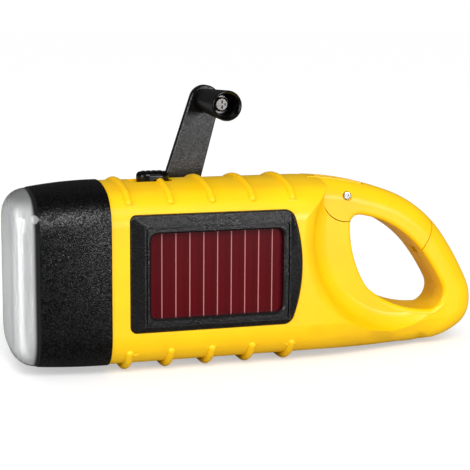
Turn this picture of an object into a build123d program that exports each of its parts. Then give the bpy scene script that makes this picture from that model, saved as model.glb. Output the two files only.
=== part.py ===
"""Hand crank torch: yellow split housing, black lamp head, solar cell, crank dynamo and snap-hook tail.

Axes: +X towards the tail, +Y towards the crank side, +Z up. The origin is on the flat of the middle
bottom rib, in the parting plane. Sizes are in millimetres.
"""

from build123d import *
import os
from math import asin, cos, pi, radians, sin, sqrt, tan

# ---------------------------------------------------------------- driving dimensions
# housing section
HALF_THICK = 17.9        # parting plane to the flat of each side
BODY_BOTTOM = 0.9        # underside above the resting plane, the height of the ribs
BODY_HEIGHT = 52.0
CORNER = 9.5             # outer corner radius of the section
CROWN_R = 38.0           # crown of the top and of the underside
WALL = 2.2
NECK_X = -29.0           # where the lamp head meets the housing
BEND_X = 28.0            # where the housing starts to thin towards the tail
TAPER_END_X = 80.0       # where the thinning has reached the ring's thickness
CAVITY_END_X = 26.5
SEAM = 0.12              # joint line between the two halves

# tail ring
RING_HALF = 7.5          # half thickness of the ring
RING_EDGE = 6.0          # rounding of its outer edge
HOLE_EDGE = 1.2          # rounding of the edge of its opening
RING_SCALE = BODY_HEIGHT / 52.0  # the arcs below are those of a 52 mm housing
BACK_ARCS = ((88.6, 19.54), (39.0, 34.72), (89.5, 10.78), (14.0, 35.63), (9.1, 44.3), (22.3, 35.03))
BACK_START_X = 28.6      # where the top line starts to fall
HOLE_ARCS = (
    (34.6, 30.7), (9.5, 21.3), (31.5, 38.0), (3.3, 32.3), (5.4, 85.2), (63.4, 10.4), (35.3, 20.1), (31.2, 22.9)
)
HOLE_BEHIND = 16.5       # upper left corner of the opening, behind the start of the fall
HOLE_BELOW = 14.55       # and below the top line
RING_ROOT_X = 33.0       # the ring's plate starts here, inside the housing
SCOOP_BEHIND = 33.4      # centre of the dished step round the ring
SCOOP_BELOW = 16.9
SCOOP_FLOOR_R = 24.2
SCOOP_FOOT_R = 6.0
SCOOP_LIP_R = 5.0
SCOOP_SLOPE = 68.0
FOOT_ARC_R = 22.0        # rise of the underside under the tail
FOOT_BEHIND = 41.3

# grip ribs
RIB_PITCH = 11.9
RIB_COUNT = 5
RIB_R = 1.15             # half width of a rib
RIB_WRAP = 47.0          # degrees that a top rib runs down the corner
RIB_LOW_WRAP = 58.0      # degrees that a bottom rib runs up the side
RIB_LEVEL_Y = 6.0        # a bottom rib lies flat this far from the parting plane
TONGUE_LONG = 1.5        # the middle bottom rib of one half crosses the joint line by this
TONGUE_GAP = 0.1
FOOT_FLAT = 0.15         # ground off the lowest ribs so that they stand flat

# gate
PIN_BEHIND = 15.1        # pin behind the start of the fall
PIN_BELOW = 5.7          # and below the top line
PIN_R = 1.2
PIN_RING = 0.45          # sunk ring round the pin's head
LOBE_R = 7.6 * RING_SCALE     # rounded root of the gate, about its pin
TIP_R = 30.0 * RING_SCALE     # reach of the gate, about its pin
KNUCKLE_R = 6.6 * RING_SCALE
KNUCKLE_NECK = 4.4       # lower edge of the knuckle's neck, below the pin
KNUCKLE_HALF = 3.4
GATE_GAP = 0.25
NOSE_HALF = 1.5
NOSE_LENGTH = 2.0
NOSE_TOP = -23.5         # direction of the nose's upper side, seen from the pin
SPRING_WIRE = 0.45
SPRING_COILS = 3
SPRING_HALF = 1.15

# crank
CRANK_LEAN = 16.5        # arm's lean towards the tail as it stands
CRANK_THROW = 47.5
HUB_X = -5.6
HUB_Z = 28.2
HUB_R = 9.2
HUB_FLOOR_Y = 15.2
HUB_TOP_Y = 18.1
SHAFT_R = 2.5
RUN_FIT = 0.05           # radial clearance of a running fit
LOOSE = 0.3              # clearance between parts that only pass each other
ARM_BACK_Y = 21.1
ARM_THICK = 2.6
ARM_TIP_R = 4.6
ARM_ROOT_HALF = 6.1
HINGE_R = 1.0
EAR_THICK = 1.7
KNOB_LENGTH = 22.4
KNOB_TIP_R = 4.4
KNOB_ROOT_R = 3.55
KNOB_WALL = 0.8
KNOB_FLOOR = 14.5        # root to the floor that the screw bears on
KNOB_BORE_R = 1.3
KNOB_SCREW_R = 1.25
STOW_ANGLE = 12.0        # degrees below the body axis at which the arm stows
POCKET_R = 5.0
POCKET_WALL = 1.9
POCKET_FLOOR_Y = -5.0

# solar panel, on the side away from the crank
PANEL_LEFT = -23.9
PANEL_RIGHT = 22.9
PANEL_BULGE = 26.1
PANEL_LOW = 12.5
PANEL_HIGH = 45.4
PANEL_PROUD = 1.0
PANEL_SEAT = 1.0
PANEL_DROP = 0.6         # outer edge of the frame below its plateau
PANEL_EDGE = 0.5         # rounding of that edge
PLATEAU_SIDE = 1.8       # plateau beyond the window, left and right
PLATEAU_END = 2.2        # and above and below it
GROOVE_INSET = 0.35
GROOVE_WIDE = 0.45
GROOVE_DEEP = 0.6
WINDOW_BEVEL = 0.5
WINDOW_LEFT = -18.3
WINDOW_RIGHT = 20.4
WINDOW_LOW = 16.2
WINDOW_HIGH = 40.2
WINDOW_CORNER = 2.0
CELL_LAP = 1.1
CELL_THICK = 1.2

# lamp head
HEAD_GROWTH = 0.3
RIM_X = -48.4
LENS_FRONT_X = -55.0
HEAD_WALL = 1.9
LENS_WALL = 1.5
LENS_ROUND = 6.2
CUP_PITCH = 13.6
CUP_R = 6.5
LED_R = 2.5
LED_BOARD_X = -36.0
BOARD_THICK = 1.2

# gears
MODULE = 0.8
DRIVE_TEETH = 32
IDLER_PINION_TEETH = 10
IDLER_TEETH = 30
ROTOR_TEETH = 10
GEAR_WIDTH = 2.4
IDLER_BEARING = -30.0    # direction of the idler seen from the hub, degrees
ROTOR_BEARING = 75.0     # direction of the rotor seen from the idler, degrees
AXLE_R = 1.0
STAGE_ONE_Y = 10.2
STAGE_TWO_Y = 7.0
PLATE_Y = 5.0
PLATE_THICK = 1.4
MAGNET_R = 6.6
STATOR_IN_R = 7.2
STATOR_OUT_R = 10.0
STATOR_LONG = 8.0

# power
CELL_R = 7.8
BUTTON_LONG = 5.4
BUTTON_COUNT = 3
BATTERY_X = -9.4
BATTERY_Y = -5.6
BATTERY_Z = 12.6

# switch
SWITCH_X = -13.2
SWITCH_TRAVEL = 2.0
CAP_LONG = 9.4
CAP_WIDE = 6.6
CAP_HIGH = 2.3
CAP_SEAT = 0.8

# screws
SCREW_R = 1.2
SCREW_HEAD_R = 2.3
SCREW_HEAD_LONG = 1.6
BOSS_R = 3.4

# ---------------------------------------------------------------- places worked out from them
BODY_TOP = BODY_BOTTOM + BODY_HEIGHT
MID_Z = BODY_BOTTOM + BODY_HEIGHT / 2
INNER_Y = HALF_THICK - WALL
INNER_LOW = BODY_BOTTOM + WALL
INNER_HIGH = BODY_TOP - WALL
THROW_DX = CRANK_THROW * sin(radians(CRANK_LEAN))
THROW_DZ = CRANK_THROW * cos(radians(CRANK_LEAN))
KNOB_X = HUB_X + THROW_DX
KNOB_Z = HUB_Z + THROW_DZ
STOW_X = HUB_X + CRANK_THROW * cos(radians(STOW_ANGLE))
STOW_Z = HUB_Z - CRANK_THROW * sin(radians(STOW_ANGLE))
ARM_FRONT_Y = ARM_BACK_Y - ARM_THICK
HINGE_Y = (ARM_FRONT_Y + ARM_BACK_Y) / 2
STAGE_ONE = MODULE * (DRIVE_TEETH + IDLER_PINION_TEETH) / 2
STAGE_TWO = MODULE * (IDLER_TEETH + ROTOR_TEETH) / 2
IDLER_X = HUB_X + STAGE_ONE * cos(radians(IDLER_BEARING))
IDLER_Z = HUB_Z + STAGE_ONE * sin(radians(IDLER_BEARING))
ROTOR_X = IDLER_X + STAGE_TWO * cos(radians(ROTOR_BEARING))
ROTOR_Z = IDLER_Z + STAGE_TWO * sin(radians(ROTOR_BEARING))
PANEL_FACE_Y = -HALF_THICK - PANEL_PROUD
PANEL_SEAT_Y = -HALF_THICK + PANEL_SEAT
CELL_FACE_Y = PANEL_SEAT_Y + 0.1
CELL_BACK_Y = CELL_FACE_Y + CELL_THICK
PIN_X = BACK_START_X + PIN_BEHIND * RING_SCALE
PIN_Z = BODY_TOP - PIN_BELOW * RING_SCALE
SCOOP_X = BACK_START_X + SCOOP_BEHIND * RING_SCALE
SCOOP_Z = BODY_TOP - SCOOP_BELOW * RING_SCALE
HOLE_START = (BACK_START_X + HOLE_BEHIND * RING_SCALE, BODY_TOP - HOLE_BELOW * RING_SCALE)
FOOT_ARC_X = BACK_START_X + FOOT_BEHIND * RING_SCALE
PLATE_FRONT_Y = PLATE_Y - PLATE_THICK


# ---------------------------------------------------------------- helpers
def side_plane(y):
    """Plane whose sketch axes are X and Z, at the depth y."""
    return Plane(origin=(0, y, 0), x_dir=(1, 0, 0), z_dir=(0, -1, 0))


def section_plane(x, z=0.0):
    """Plane whose sketch axes are Y and Z, at the station x."""
    return Plane(origin=(x, 0, z), x_dir=(0, 1, 0), z_dir=(1, 0, 0))


def slab(sketch, y_from, y_to):
    """Extrudes a side sketch from one depth to another."""
    return extrude(side_plane(y_to) * sketch, amount=y_to - y_from, dir=(0, -1, 0))


def face_up(edges):
    """Sketch inside the edges, facing up whichever way they run."""
    face = make_face(edges).face()
    return Sketch() + (face if face.normal_at().Z > 0 else -face)


def flat(*points):
    """Sketch of the polygon through the points."""
    return face_up(Polyline(*points, close=True))


def rod(x, z, radius, y_from, y_to):
    """Round bar along Y."""
    return slab(Pos(x, z) * Circle(radius), y_from, y_to)


def block(x_from, x_to, y_from, y_to, z_from, z_to):
    """Rectangular block between two corners."""
    size = (x_to - x_from, y_to - y_from, z_to - z_from)
    middle = ((x_from + x_to) / 2, (y_from + y_to) / 2, (z_from + z_to) / 2)
    return Pos(*middle) * Box(*size)


def arc_chain(start, heading, arcs, turn):
    """Tangent arcs laid end to end, each given by its radius and its turn in degrees."""
    edges = []
    point, direction = Vector(*start), Vector(*heading)
    for radius, angle in arcs:
        arc = JernArc(point, direction, radius, turn * angle)
        edges.append(arc)
        point, direction = arc @ 1, arc % 1
    return edges, point, direction


def half_space(side, depth=60.0, seam=0.0):
    """Block that holds everything on one side of the parting plane."""
    low, high = (seam, depth) if side > 0 else (-depth, -seam)
    return block(-120, 160, low, high, -60, 140)


def mirror_side(shape, side):
    """The shape as it is on the crank side, or its image on the panel side."""
    return shape if side > 0 else mirror(shape, about=Plane.XZ)


# ---------------------------------------------------------------- outer form of the housing
def body_section(x, half, low, high, radius, crown=CROWN_R):
    """Section square to X: flat sides, round corners, crowned top and underside."""
    radius = min(radius, half - 0.4)
    tall = (high - low) / 2
    side_y = half - radius
    lean = asin(side_y / (crown - radius))
    corner_z = tall - crown + (crown - radius) * cos(lean)
    bend = (lean + pi / 2) / 2
    join = Vector(crown * sin(lean), tall - crown + crown * cos(lean))
    middle = Vector(side_y + radius * sin(bend), corner_z + radius * cos(bend))
    side = Vector(half, corner_z)

    def at(point, right, up):
        return (right * point.X, up * point.Y)

    outline = Curve() + [
        ThreePointArc(at(join, -1, 1), (0, tall), at(join, 1, 1)),
        ThreePointArc(at(join, 1, 1), at(middle, 1, 1), at(side, 1, 1)),
        Line(at(side, 1, 1), at(side, 1, -1)),
        ThreePointArc(at(side, 1, -1), at(middle, 1, -1), at(join, 1, -1)),
        ThreePointArc(at(join, 1, -1), (0, -tall), at(join, -1, -1)),
        ThreePointArc(at(join, -1, -1), at(middle, -1, -1), at(side, -1, -1)),
        Line(at(side, -1, -1), at(side, -1, 1)),
        ThreePointArc(at(side, -1, 1), at(middle, -1, 1), at(join, -1, 1)),
    ]
    return section_plane(x, (low + high) / 2) * face_up(outline)


def inner_section(x, gap=0.0):
    """Section of the housing's cavity, less a gap all round."""
    inset = WALL + gap
    return body_section(
        x, HALF_THICK - inset, BODY_BOTTOM + inset, BODY_TOP - inset, CORNER - inset, CROWN_R - inset
    )


def taper_section(x):
    """Section behind the bend, where the housing thins towards the tail."""
    share = (x - BEND_X) / (TAPER_END_X - BEND_X)
    thinning = (HALF_THICK - RING_HALF + 0.1) * share * share * (3 - 2 * share)
    fall_r = BACK_ARCS[0][0] * RING_SCALE
    fall = max(0.0, x - BACK_START_X)
    high = BODY_TOP - (fall_r - sqrt(fall_r**2 - fall**2))
    rise = max(0.0, x - FOOT_ARC_X)
    low = BODY_BOTTOM + FOOT_ARC_R - sqrt(FOOT_ARC_R**2 - rise**2)
    return body_section(x, HALF_THICK - thinning, low, high, CORNER - 0.2 * thinning)


def scoop():
    """Dished cutter round the ring: flat floor, hollow foot, slope and rounded lip."""
    angle = radians(SCOOP_SLOPE)
    floor_y = RING_HALF - 0.05
    foot = Vector(SCOOP_FLOOR_R, floor_y)
    foot_mid = foot + Vector(SCOOP_FOOT_R * sin(angle / 2), SCOOP_FOOT_R * (1 - cos(angle / 2)))
    foot_end = foot + Vector(SCOOP_FOOT_R * sin(angle), SCOOP_FOOT_R * (1 - cos(angle)))
    rise = HALF_THICK - floor_y - (SCOOP_FOOT_R + SCOOP_LIP_R) * (1 - cos(angle))
    slope_end = foot_end + Vector(rise / tan(angle), rise)
    lip = Vector(slope_end.X + SCOOP_LIP_R * sin(angle), HALF_THICK)
    lip_mid = lip - Vector(SCOOP_LIP_R * sin(angle / 2), SCOOP_LIP_R * (1 - cos(angle / 2)))
    above = HALF_THICK + 8
    outline = Curve() + [
        Line((0, floor_y), foot),
        ThreePointArc(foot, foot_mid, foot_end),
        Line(foot_end, slope_end),
        ThreePointArc(slope_end, lip_mid, lip),
        Line(lip, (lip.X, above)),
        Line((lip.X, above), (0, above)),
        Line((0, above), (0, floor_y)),
    ]
    plane = Plane(origin=(SCOOP_X, 0, SCOOP_Z), x_dir=(1, 0, 0), z_dir=(0, 0, 1))
    return revolve(plane * make_face(outline), axis=Axis((SCOOP_X, 0, SCOOP_Z), (0, 1, 0)))


def ring_arcs(arcs):
    """The arcs at the size of this housing."""
    return [(radius * RING_SCALE, angle) for radius, angle in arcs]


def hole_outline(grow=0.0):
    """Outline of the ring's opening, from its upper left corner round the foot and the tip."""
    edges, end, heading = arc_chain(HOLE_START, (0, -1), ring_arcs(HOLE_ARCS), 1)
    edges.append(Spline(end, Vector(*HOLE_START), tangents=[heading, (0, -1)]))
    face = face_up(Curve() + edges)
    return offset(face, grow) if grow else face


def ring_plate():
    """Half of the flat ring on the crank side, with its rounded edges."""
    edges, end, _ = arc_chain((BACK_START_X, BODY_TOP), (1, 0), ring_arcs(BACK_ARCS), -1)
    root_top = Vector(BACK_START_X, BODY_TOP)
    low_root = Vector(BACK_START_X, BODY_BOTTOM + 3)
    outline = Curve() + edges + [Line(end, low_root), Line(low_root, root_top)]
    sketch = face_up(outline)
    keep = Pos(RING_ROOT_X + 100, 30) * Rectangle(200, 200)
    plate = slab(sketch & keep, 0, RING_HALF) - slab(hole_outline(), -1, RING_HALF + 1)
    rim = plate.faces().sort_by(Axis.Y)[-1]
    outer = [e for e in rim.outer_wire().edges() if e.center().X > RING_ROOT_X + 0.01]
    plate = fillet(outer, RING_EDGE)
    rim = plate.faces().sort_by(Axis.Y)[-1]
    return fillet(rim.inner_wires()[0].edges(), HOLE_EDGE)


def thick_form():
    """The full housing form on the crank side, scooped out round the ring."""
    straight = extrude(
        body_section(NECK_X, HALF_THICK, BODY_BOTTOM, BODY_TOP, CORNER), amount=BEND_X - NECK_X
    )
    steps = 8
    stations = [BEND_X + (TAPER_END_X - BEND_X) * step / steps for step in range(steps + 1)]
    form = straight + loft([taper_section(x) for x in stations])
    form = form & half_space(1)
    form -= scoop()
    form -= rod(SCOOP_X, SCOOP_Z, SCOOP_FLOOR_R - 0.2, -1, HALF_THICK + 1)
    return form - slab(hole_outline(HOLE_EDGE + 0.1), -1, HALF_THICK + 1)


def gate_region(gap):
    """Side outline of the gate: round root about the pin, arc end about the same pin."""
    root = Pos(PIN_X, PIN_Z) * Circle(LOBE_R + gap)
    reach = Pos(PIN_X, PIN_Z) * Circle(TIP_R + gap)
    back_x = PIN_X - LOBE_R - gap
    inside_x = PIN_X + 6.3 * RING_SCALE
    inside_z = PIN_Z - 9.2 * RING_SCALE
    low_z = PIN_Z - 20.0 * RING_SCALE
    limb = flat((back_x, PIN_Z), (PIN_X, PIN_Z), (inside_x, inside_z), (inside_x, low_z),
                (PIN_X + 60, low_z), (PIN_X + 60, PIN_Z + 30), (back_x, PIN_Z + 30))
    return root + (limb & reach)


def top_rib(x):
    """Half rib over the top on the crank side, along the crown and down the corner."""
    sunk = RIB_R - BODY_BOTTOM
    side_y = HALF_THICK - CORNER
    lean = asin(side_y / (CROWN_R - CORNER))
    wrap = radians(RIB_WRAP)
    crown, corner = CROWN_R - sunk, CORNER - sunk
    crown_z = BODY_TOP - CROWN_R
    corner_z = crown_z + (CROWN_R - CORNER) * cos(lean)

    def on_crown(angle):
        return (x, crown * sin(angle), crown_z + crown * cos(angle))

    def on_corner(angle):
        return (x, side_y + corner * sin(angle), corner_z + corner * cos(angle))

    path = Curve() + [
        ThreePointArc(on_crown(0), on_crown(lean / 2), on_crown(lean)),
        ThreePointArc(on_corner(lean), on_corner((lean + wrap) / 2), on_corner(wrap)),
    ]
    start = Plane(origin=on_crown(0), z_dir=(0, 1, 0))
    return sweep(start * Circle(RIB_R), path=path) + Pos(*on_corner(wrap)) * Sphere(RIB_R)


def bottom_rib(x):
    """Half rib under the bottom on the crank side: level in the middle, then up round the corner."""
    level = RIB_R - FOOT_FLAT
    sunk = RIB_R - BODY_BOTTOM
    side_y = HALF_THICK - CORNER
    corner = CORNER - sunk
    corner_z = BODY_BOTTOM + CROWN_R - sqrt((CROWN_R - CORNER) ** 2 - side_y**2)
    across, rise = side_y - RIB_LEVEL_Y, corner_z - level
    radius = (across**2 + rise**2 - corner**2) / (2 * (rise - corner))
    wrap = radians(RIB_LOW_WRAP)

    def on_arc(angle):
        return (x, RIB_LEVEL_Y + radius * sin(angle), level + radius * (1 - cos(angle)))

    path = Curve() + [
        Line((x, 0, level), on_arc(0)),
        ThreePointArc(on_arc(0), on_arc(wrap / 2), on_arc(wrap)),
    ]
    start = Plane(origin=(x, 0, level), z_dir=(0, 1, 0))
    return sweep(start * Circle(RIB_R), path=path) + Pos(*on_arc(wrap)) * Sphere(RIB_R)


def ribs():
    """Half ribs over the top and under the bottom, on the crank side."""
    places = [(index - RIB_COUNT // 2) * RIB_PITCH for index in range(RIB_COUNT)]
    return [make(x) for x in places for make in (top_rib, bottom_rib)]


def foot_tongue():
    """End of the middle bottom rib that crosses the joint line, so that one flat holds the origin."""
    return rod(0, RIB_R - FOOT_FLAT, RIB_R, -TONGUE_LONG, 1.0)


def foot_notch():
    """Room for that tongue in the other half."""
    side = RIB_R + TONGUE_GAP
    return block(-side, side, -TONGUE_LONG - TONGUE_GAP, 1, -1, 2 * RIB_R - FOOT_FLAT + TONGUE_GAP)


def screw_places():
    """Centres of the housing screws: four in the housing and one in the tail."""
    left, right = NECK_X + 6.2, CAVITY_END_X - 3.0
    low, high = INNER_LOW + 6.0, INNER_HIGH - 6.0
    tail = (BACK_START_X + 50.9 * RING_SCALE, BODY_TOP - 44.0 * RING_SCALE)
    return [(left, low), (left, high), (right, low), (right, high), tail]


# ---------------------------------------------------------------- housing shells
def shell_form(side):
    """Outer form of one half with its cavity, without the features of one side only."""
    form = mirror_side(thick_form(), side)
    plate = mirror_side(ring_plate(), side)
    gate_cut = slab(gate_region(GATE_GAP), -30, 30)
    form = (form - gate_cut) + (plate - gate_cut)
    for rib in ribs():
        form += mirror_side(rib, side)
    form -= extrude(inner_section(NECK_X - 1), amount=CAVITY_END_X - NECK_X + 1)
    form &= half_space(side, seam=SEAM / 2)
    form = form + foot_tongue() if side > 0 else form - foot_notch()
    return form - block(-60, 120, -40, 40, -5, 0)


def knuckle(side):
    """Leaf of the housing that carries the gate's pin."""
    inner, outer = SPRING_HALF + 0.25, KNUCKLE_HALF
    round_end = Pos(PIN_X, PIN_Z) * Circle(KNUCKLE_R)
    neck_z = PIN_Z - KNUCKLE_NECK * RING_SCALE
    neck = flat((PIN_X - 11, neck_z), (PIN_X, neck_z), (PIN_X, PIN_Z + 9),
                (PIN_X - 11, PIN_Z + 9))
    edges, end, _ = arc_chain((BACK_START_X, BODY_TOP), (1, 0), ring_arcs(BACK_ARCS), -1)
    corner = (BACK_START_X, end.Y)
    top = (BACK_START_X, BODY_TOP)
    under = face_up(Curve() + edges + [Line(end, corner), Line(corner, top)])
    leaf = slab((round_end + neck) & under, inner, outer)
    leaf -= rod(PIN_X, PIN_Z, PIN_R + RUN_FIT, -10, 10)
    return mirror_side(leaf, side)


def bosses(side):
    """Screw bosses: long ones with a counterbore on the crank side, blind ones opposite."""
    posts, cuts = [], []
    for x, z in screw_places():
        tail = x > CAVITY_END_X
        outer = RING_HALF if tail else HALF_THICK
        seat = 2.4
        if side > 0:
            if not tail:
                posts.append(rod(x, z, BOSS_R, 0, INNER_Y + 0.5))
            cuts.append(rod(x, z, SCREW_HEAD_R + LOOSE, seat, outer + 5))
            cuts.append(rod(x, z, SCREW_R + 0.1, -1, outer))
        else:
            if not tail:
                posts.append(rod(x, z, BOSS_R, -INNER_Y - 0.5, 0))
            cuts.append(rod(x, z, SCREW_R, -5.5, 1))
    return posts, cuts


def back_shell():
    """Crank side half: hub recess and bearing, knob pocket, gear posts."""
    form = shell_form(1) + knuckle(1)
    posts, cuts = bosses(1)
    form += posts
    form += rod(HUB_X, HUB_Z, HUB_R + 2.2, HUB_FLOOR_Y - 2.0, INNER_Y + 0.5)
    form += rod(STOW_X, STOW_Z, POCKET_R + POCKET_WALL, SEAM / 2, HALF_THICK - 3.0)
    form -= cuts
    form -= rod(HUB_X, HUB_Z, HUB_R + LOOSE, HUB_FLOOR_Y, HALF_THICK + 5)
    form -= rod(HUB_X, HUB_Z, SHAFT_R + 1.5, 5, HALF_THICK + 5)
    form -= rod(STOW_X, STOW_Z, POCKET_R, -1, HALF_THICK + 5)
    axle_post = rod(IDLER_X, IDLER_Z, AXLE_R + 1.6, STAGE_ONE_Y + GEAR_WIDTH + 0.6, INNER_Y + 0.5)
    form += axle_post
    form -= rod(IDLER_X, IDLER_Z, AXLE_R, STAGE_ONE_Y, INNER_Y)
    for x, z in plate_posts():
        form += rod(x, z, 2.4, PLATE_Y, INNER_Y + 0.5)
        form -= rod(x, z, SCREW_R, PLATE_Y - 1, PLATE_Y + 6)
    form -= switch_cuts()
    form -= nose_slot()
    return form


def front_shell():
    """Panel side half: seat of the solar frame and cell, floor of the knob pocket."""
    form = shell_form(-1) + knuckle(-1)
    posts, cuts = bosses(-1)
    form += posts
    low, high = WINDOW_LOW - CELL_LAP - 1.5, WINDOW_HIGH + CELL_LAP + 1.5
    form += block(WINDOW_LEFT - CELL_LAP - 1.5, WINDOW_RIGHT + CELL_LAP + 1.5,
                  -INNER_Y - 0.5, CELL_BACK_Y + 1.3, low, high)
    form -= cuts
    form -= rod(STOW_X, STOW_Z, POCKET_R, POCKET_FLOOR_Y, 5)
    form -= slab(panel_outline(0.15), -HALF_THICK - 5, PANEL_SEAT_Y)
    form -= slab(window_outline(CELL_LAP + 0.15), -HALF_THICK - 5, CELL_BACK_Y)
    form -= switch_cuts()
    form -= nose_slot()
    return form


def sector(low, high):
    """Wedge with its point on the gate's pin, between two directions in degrees."""
    far = 60
    ends = [(PIN_X + far * cos(radians(a)), PIN_Z + far * sin(radians(a))) for a in (low, high)]
    return flat((PIN_X, PIN_Z), *ends)


def nose_slot():
    """Slot in the fixed end of the ring that takes the gate's nose, open to the inside."""
    pin = Pos(PIN_X, PIN_Z)
    band = pin * Circle(TIP_R + NOSE_LENGTH + 0.6) - pin * Circle(TIP_R - 2)
    return slab(band & sector(-55, NOSE_TOP + 1.0), -NOSE_HALF - LOOSE, NOSE_HALF + LOOSE)


# ---------------------------------------------------------------- gate
def gate_half(side):
    """One moulded half of the gate: cheek at the root, full section beyond, nose at the tip."""
    plate = mirror_side(ring_plate(), side)
    form = plate & slab(gate_region(0.0), -30, 30)
    form &= half_space(side, seam=SEAM / 2)
    fork = Pos(PIN_X, PIN_Z) * Circle(KNUCKLE_R + LOOSE)
    fork_left = Pos(PIN_X - 15, PIN_Z) * Rectangle(30, 30)
    form -= slab(fork + fork_left, -KNUCKLE_HALF - LOOSE, KNUCKLE_HALF + LOOSE)
    form -= slab(Pos(PIN_X + 5, PIN_Z - 1) * Rectangle(12, 4.0), -SPRING_HALF, SPRING_HALF)
    nose = slab(nose_outline(), -NOSE_HALF, NOSE_HALF) & half_space(side, seam=SEAM / 2)
    form += nose
    form -= mirror_side(rod(PIN_X, PIN_Z, PIN_R + PIN_RING, RING_HALF - PIN_RING, 20), side)
    return form - rod(PIN_X, PIN_Z, PIN_R + RUN_FIT, -20, 20)


def nose_outline():
    """Hook at the gate's tip, an arc band about the pin."""
    pin = Pos(PIN_X, PIN_Z)
    band = pin * Circle(TIP_R + NOSE_LENGTH) - pin * Circle(TIP_R - 1)
    return band & sector(NOSE_TOP - 5.5, NOSE_TOP)


def gate_pin():
    """Steel pin through both cheeks and the housing's knuckle, dimpled at its ends."""
    reach = RING_HALF + 0.1
    form = rod(PIN_X, PIN_Z, PIN_R, -reach, reach)
    form = fillet(form.edges().filter_by(GeomType.CIRCLE), 0.25)
    return form - [rod(PIN_X, PIN_Z, 0.4, reach - 0.35, 20), rod(PIN_X, PIN_Z, 0.4, -20, 0.35 - reach)]


def gate_spring():
    """Torsion spring between the two knuckle leaves: coils round the pin and two legs."""
    radius = PIN_R + 0.35 + SPRING_WIRE / 2
    height = 2 * SPRING_HALF - SPRING_WIRE - 0.1
    pitch = height / SPRING_COILS
    coil = Helix(pitch=pitch, height=height, radius=radius)
    start = Plane(origin=coil @ 0, z_dir=coil % 0)
    wire = sweep(start * Circle(SPRING_WIRE / 2), path=coil)
    turn = Plane(origin=(PIN_X, -height / 2, PIN_Z), x_dir=(1, 0, 0), z_dir=(0, 1, 0))
    return turn * wire


# ---------------------------------------------------------------- solar panel
def bowed(left, right, bulge, low, high):
    """Outline with a straight left side, top and foot, and a bowed right side."""
    outline = Curve() + [
        Line((left, high), (right, high)),
        ThreePointArc((right, high), (bulge, (low + high) / 2), (right, low)),
        Line((right, low), (left, low)),
        Line((left, low), (left, high)),
    ]
    return face_up(outline)


def panel_outline(grow=0.0):
    """Outer outline of the solar frame, with its rounded corners."""
    face = bowed(PANEL_LEFT, PANEL_RIGHT, PANEL_BULGE, PANEL_LOW, PANEL_HIGH)
    face = fillet(face.vertices().sort_by(Axis.X)[:2], 1.8)
    face = fillet(face.vertices().sort_by(Axis.X)[-2:], 3.2)
    return offset(face, grow) if grow else face


def window_outline(grow=0.0):
    """Outline of the clear opening in the solar frame."""
    width = WINDOW_RIGHT - WINDOW_LEFT + 2 * grow
    height = WINDOW_HIGH - WINDOW_LOW + 2 * grow
    middle = ((WINDOW_LEFT + WINDOW_RIGHT) / 2, (WINDOW_LOW + WINDOW_HIGH) / 2)
    return Pos(*middle) * RectangleRounded(width, height, max(0.4, WINDOW_CORNER + grow))


def solar_frame():
    """Bezel round the cell: rounded rim, sloping band, and a grooved plateau round the window."""
    edge_y = PANEL_FACE_Y + PANEL_DROP
    skirt = slab(panel_outline(), edge_y, PANEL_SEAT_Y)
    skirt = fillet(skirt.faces().sort_by(Axis.Y)[0].edges(), PANEL_EDGE)
    foot = bowed(PANEL_LEFT + PANEL_EDGE, PANEL_RIGHT - PANEL_EDGE, PANEL_BULGE - PANEL_EDGE,
                 PANEL_LOW + PANEL_EDGE, PANEL_HIGH - PANEL_EDGE)
    left, right = WINDOW_LEFT - PLATEAU_SIDE, WINDOW_RIGHT + PLATEAU_SIDE
    plateau = bowed(left, right, right + 0.2, WINDOW_LOW - PLATEAU_END, WINDOW_HIGH + PLATEAU_END)
    hip = loft([side_plane(edge_y) * foot, side_plane(PANEL_FACE_Y) * plateau], ruled=True)
    hip &= slab(panel_outline(-PANEL_EDGE), PANEL_FACE_Y - 1, PANEL_SEAT_Y)
    form = skirt + hip - slab(window_outline(), PANEL_FACE_Y - 1, PANEL_SEAT_Y + 1)
    face = form.faces().sort_by(Axis.Y)[0]
    form = chamfer(face.inner_wires()[0].edges(), WINDOW_BEVEL)
    groove = offset(plateau, -GROOVE_INSET) - offset(plateau, -GROOVE_INSET - GROOVE_WIDE)
    return form - slab(groove, PANEL_FACE_Y - 1, PANEL_FACE_Y + GROOVE_DEEP)


def solar_cell():
    """Cell plate that lies on the shell, under the lip of the frame."""
    return slab(window_outline(CELL_LAP), CELL_FACE_Y, CELL_BACK_Y)


# ---------------------------------------------------------------- lamp head
def head_section(x, shrink=0.0):
    """Rounded section of the head at a station between the neck and the rim."""
    share = (NECK_X - x) / (NECK_X - RIM_X)
    ease = max(0.0, share) ** 2
    half = HALF_THICK + HEAD_GROWTH - 1.5 * ease - shrink
    low = BODY_BOTTOM - HEAD_GROWTH + 0.9 * ease + shrink
    high = BODY_TOP + HEAD_GROWTH - 1.5 * ease - shrink
    return body_section(x, half, low, high, CORNER + 0.6 * ease - shrink, CROWN_R - shrink)


def head_stations(start, end):
    """Evenly spaced stations along the head."""
    return [start + (end - start) * step / 3 for step in range(4)]


def head_bezel():
    """Black shell of the head, with a spigot that enters the housing."""
    outer = loft([head_section(x) for x in head_stations(NECK_X - 0.1, RIM_X)])
    inner = loft([head_section(x, HEAD_WALL) for x in head_stations(NECK_X + 4, RIM_X - 1)])
    spigot = extrude(inner_section(NECK_X - 2, 0.1), amount=4.5)
    bore = extrude(inner_section(NECK_X - 3, 1.5), amount=7)
    form = outer + spigot - inner - bore
    shelf = extrude(head_section(LED_BOARD_X + 1.4, HEAD_WALL - 0.3), amount=-1.4)
    return form + shelf - extrude(head_section(LED_BOARD_X + 2, HEAD_WALL + 2.6), amount=-4)


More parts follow.
